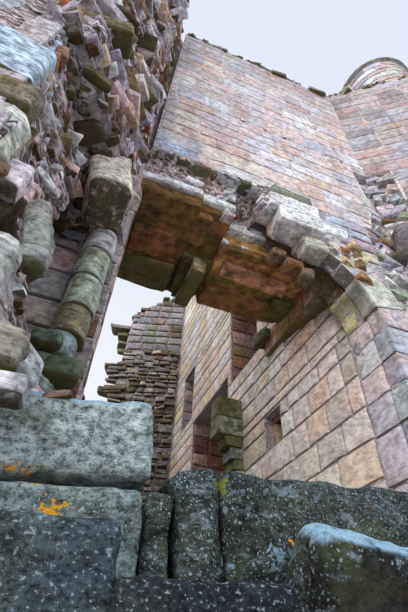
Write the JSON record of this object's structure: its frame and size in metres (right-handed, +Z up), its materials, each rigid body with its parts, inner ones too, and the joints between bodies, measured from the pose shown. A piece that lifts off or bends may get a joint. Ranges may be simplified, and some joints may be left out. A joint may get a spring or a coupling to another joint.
{
  "type": "ruined castle keep",
  "caption": "Roofless ruined sandstone castle keep with a broken two-order gate arch, stone lintels and a stair tower.",
  "frame": {"origin": "on the ground under the middle of the keep's box", "axes": "+X runs along the gate wall to the stair tower, +Y runs through the gate into the room, +Z is up"},
  "size_m": [10.0678, 11.6346, 13.8],
  "materials": {
    "ashlar_pink": "weathered",
    "ashlar_buff": "weathered",
    "ashlar_grey": "weathered",
    "rubble_core": "rough",
    "lintel_brown": "rough",
    "mossy_stone": "rough",
    "dark_block": "rough"
  },
  "bodies": {
    "root": {"gate_wall_left": "rubble_core", "gate_wall_skin": "ashlar_pink", "gate_wall_core": "rubble_core", "gate_wall_head": "rubble_core", "gate_pier_right": "ashlar_buff", "gate_pier_back": "ashlar_buff", "arch_outer_order": "ashlar_grey", "arch_inner_order": "ashlar_buff", "arch_haunch": "ashlar_grey", "haunch_core": "rubble_core", "jamb_shaft": "mossy_stone", "lintel_left": "lintel_brown", "lintel_middle": "lintel_brown", "lintel_right_front": "lintel_brown", "lintel_right_back": "lintel_brown", "mullion_stub": "mossy_stone", "corbel_band": "mossy_stone", "right_wall_front": "ashlar_pink", "right_wall_hearth": "ashlar_buff", "right_wall_back": "ashlar_pink", "hearth_pier": "mossy_stone", "window_surround": "ashlar_buff", "back_wall_tall": "ashlar_grey", "back_wall_low": "rubble_core", "left_wall_front": "ashlar_pink", "left_wall_back": "ashlar_grey", "left_pier_base": "dark_block", "left_pier_middle": "rubble_core", "left_pier_upper": "rubble_core", "pier_ledge": "dark_block", "canted_wall": "ashlar_pink", "tower_front_wall": "ashlar_pink", "tower_side_wall": "ashlar_buff", "tower_back_corner": "ashlar_grey", "tower_back_wall": "ashlar_pink", "tower_inner_wall": "ashlar_buff", "tower_roof_slab": "dark_block", "cap_house": "ashlar_grey", "cap_string": "ashlar_grey", "cap_dome": "mossy_stone", "low_wall_left": "dark_block", "low_wall_middle": "dark_block", "low_wall_right": "dark_block", "front_step": "dark_block"}
  },
  "joints": []
}
